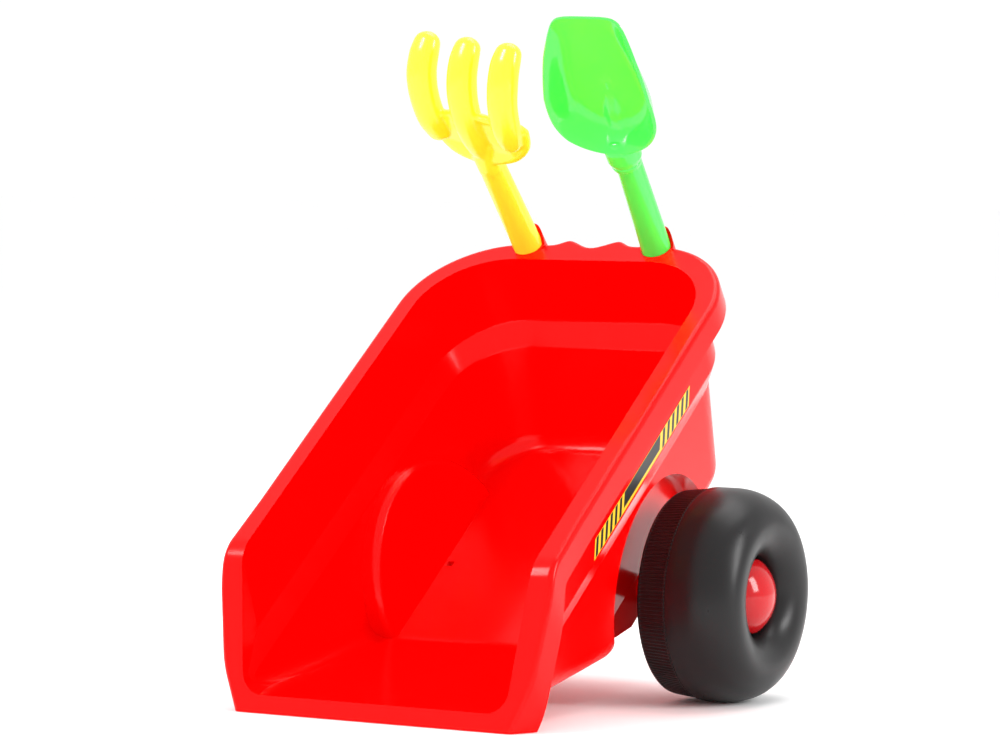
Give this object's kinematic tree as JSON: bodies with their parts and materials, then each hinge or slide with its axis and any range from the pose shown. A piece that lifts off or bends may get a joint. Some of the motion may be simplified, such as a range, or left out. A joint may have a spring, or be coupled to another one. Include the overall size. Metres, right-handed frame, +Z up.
{
  "type": "toy wheelbarrow",
  "caption": "Child's toy wheelbarrow: moulded scoop-fronted tray tipped onto its lip and fat wheels, with a rake and a shovel standing in rim sockets.",
  "frame": {"origin": "on the ground, at the middle of the whole toy's width and depth", "axes": "+Z up, -Y to the open scoop front, +X to the toy's left-hand wheel as seen from behind"},
  "size_m": [0.42, 0.3908, 0.541],
  "materials": {
    "red_plastic": "glossy moulded plastic",
    "cap_red": "glossy moulded plastic",
    "black_plastic": "satin moulded plastic",
    "yellow_plastic": "glossy moulded plastic",
    "green_plastic": "glossy moulded plastic",
    "decal": "printed label",
    "nylon": "natural nylon",
    "steel": "zinc plated"
  },
  "bodies": {
    "tray": {"tray_shell": "red_plastic", "decal_left": "decal", "decal_right": "decal", "bearing_bush_left": "nylon", "bearing_bush_right": "nylon"},
    "axle": {"axle_rod": "steel", "washer_left": "steel", "washer_right": "steel", "push_nut_left": "steel", "push_nut_right": "steel"},
    "wheel_left": {"wheel_tread_half_left": "black_plastic", "wheel_face_half_left": "black_plastic", "hub_cap_left": "cap_red"},
    "wheel_right": {"wheel_tread_half_right": "black_plastic", "wheel_face_half_right": "black_plastic", "hub_cap_right": "cap_red"},
    "rake": {"rake_handle": "yellow_plastic", "rake_head": "yellow_plastic", "rake_end_plug": "yellow_plastic"},
    "shovel": {"shovel_handle": "green_plastic", "shovel_neck": "green_plastic", "shovel_blade": "green_plastic", "shovel_end_plug": "green_plastic"}
  },
  "joints": [
    {"name": "axle_spin", "type": "hinge", "parent": "tray", "child": "axle", "pos_m": [0, 0.07464, 0.085], "axis": [1, 0, 0], "continuous": true},
    {"name": "wheel_left_spin", "type": "hinge", "parent": "axle", "child": "wheel_left", "pos_m": [0, 0.07464, 0.085], "axis": [1, 0, 0], "continuous": true},
    {"name": "wheel_right_spin", "type": "hinge", "parent": "axle", "child": "wheel_right", "pos_m": [0, 0.07464, 0.085], "axis": [1, 0, 0], "continuous": true},
    {"name": "rake_lift", "type": "slide", "parent": "tray", "child": "rake", "axis": [-0.0349, -0.6522, 0.7572], "range_m": [0, 0.08]},
    {"name": "shovel_lift", "type": "slide", "parent": "tray", "child": "shovel", "axis": [0.0349, -0.6254, 0.7795], "range_m": [0, 0.08]}
  ]
}
